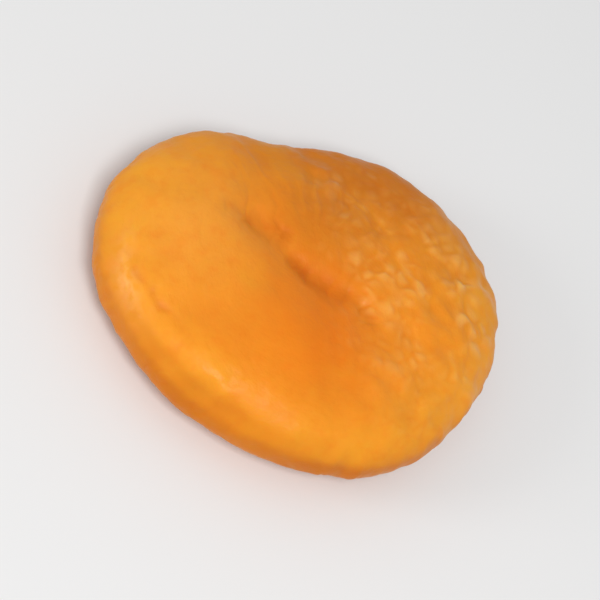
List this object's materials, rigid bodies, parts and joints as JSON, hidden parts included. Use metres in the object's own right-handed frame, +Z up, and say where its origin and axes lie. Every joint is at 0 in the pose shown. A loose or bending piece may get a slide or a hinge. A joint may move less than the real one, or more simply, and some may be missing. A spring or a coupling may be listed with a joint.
{
  "type": "dried apricot",
  "caption": "Whole dried apricot, pitted and pressed into a soft oval disc, with a dented stem end, a pressed-shut slit, a shallow suture and crinkled skin.",
  "frame": {"origin": "middle of the footprint, on the surface that the fruit lies on", "axes": "+X along the fruit's longest way across, +Z up, through its thickness, towards the stem end"},
  "size_m": [0.0402, 0.0334, 0.0095],
  "materials": {
    "flesh": "satin"
  },
  "bodies": {
    "root": {"dried_apricot": "flesh"}
  },
  "joints": []
}
